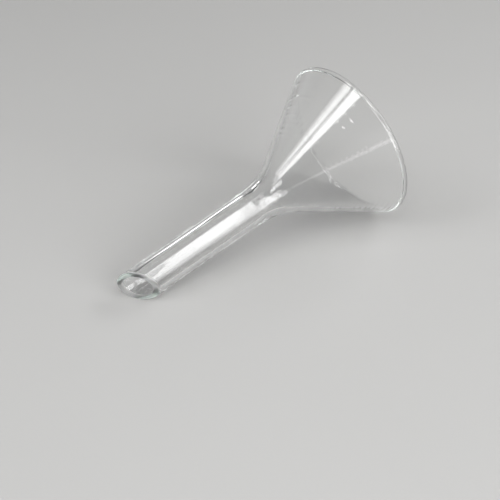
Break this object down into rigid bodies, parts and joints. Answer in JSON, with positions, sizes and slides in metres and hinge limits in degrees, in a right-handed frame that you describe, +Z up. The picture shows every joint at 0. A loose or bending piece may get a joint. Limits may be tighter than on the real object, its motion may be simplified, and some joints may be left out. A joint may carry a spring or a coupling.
{
  "type": "short-stem conical glass funnel",
  "caption": "Clear glass funnel: a conical bowl with a rounded rim, a flared neck and a short straight stem cut at a slant.",
  "frame": {"origin": "on the surface it lies on, under the middle of its bounding box", "axes": "+Z up, +X along the floor from the stem's tip towards the mouth, which leans down to the floor; the longer side of the slanted tip is at +Y"},
  "size_m": [0.0864, 0.05, 0.0485],
  "materials": {
    "bowl_glass": "clear polished glass",
    "neck_glass": "clear glass, slightly rippled by the flame",
    "stem_glass": "clear drawn tube, its end ground at a slant"
  },
  "bodies": {
    "root": {"bowl": "bowl_glass", "neck": "neck_glass", "stem": "stem_glass"}
  },
  "joints": []
}
